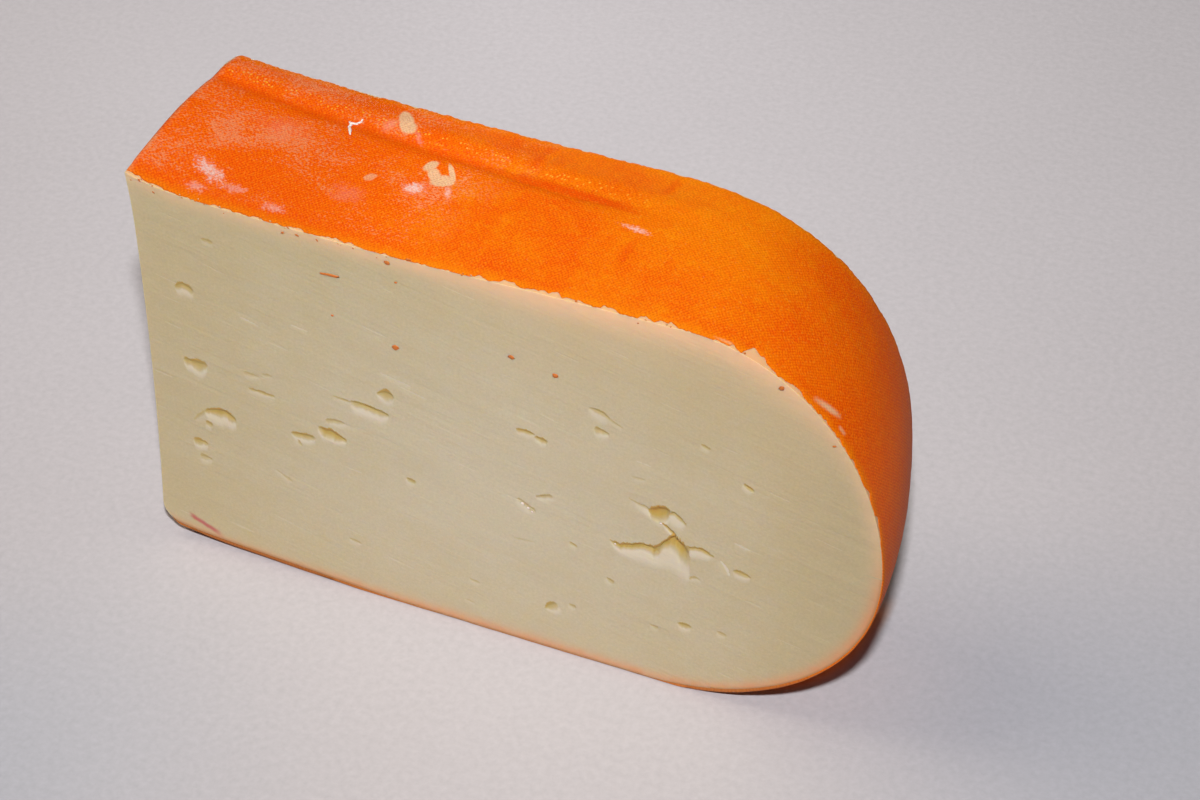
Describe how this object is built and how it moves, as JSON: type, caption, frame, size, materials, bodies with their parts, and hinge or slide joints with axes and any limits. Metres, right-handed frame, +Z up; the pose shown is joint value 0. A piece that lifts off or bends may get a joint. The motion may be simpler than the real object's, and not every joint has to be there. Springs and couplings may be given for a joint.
{
  "type": "mahon cheese",
  "caption": "Slab cut from a block of semi-hard cheese: cream cut faces with small eyes and a crack, orange rind on top, bottom and rounded end.",
  "frame": {"origin": "middle of the bounding box at the level the slab stands on", "axes": "+X along the slab towards its rounded end, +Y through its thickness from the front cut to the back cut, +Z up"},
  "size_m": [0.124, 0.028, 0.0791],
  "materials": {
    "cheese": "moist creamy cut paste with an orange oiled rind on the top, bottom and rounded end"
  },
  "bodies": {
    "root": {"cheese": "cheese"}
  },
  "joints": []
}
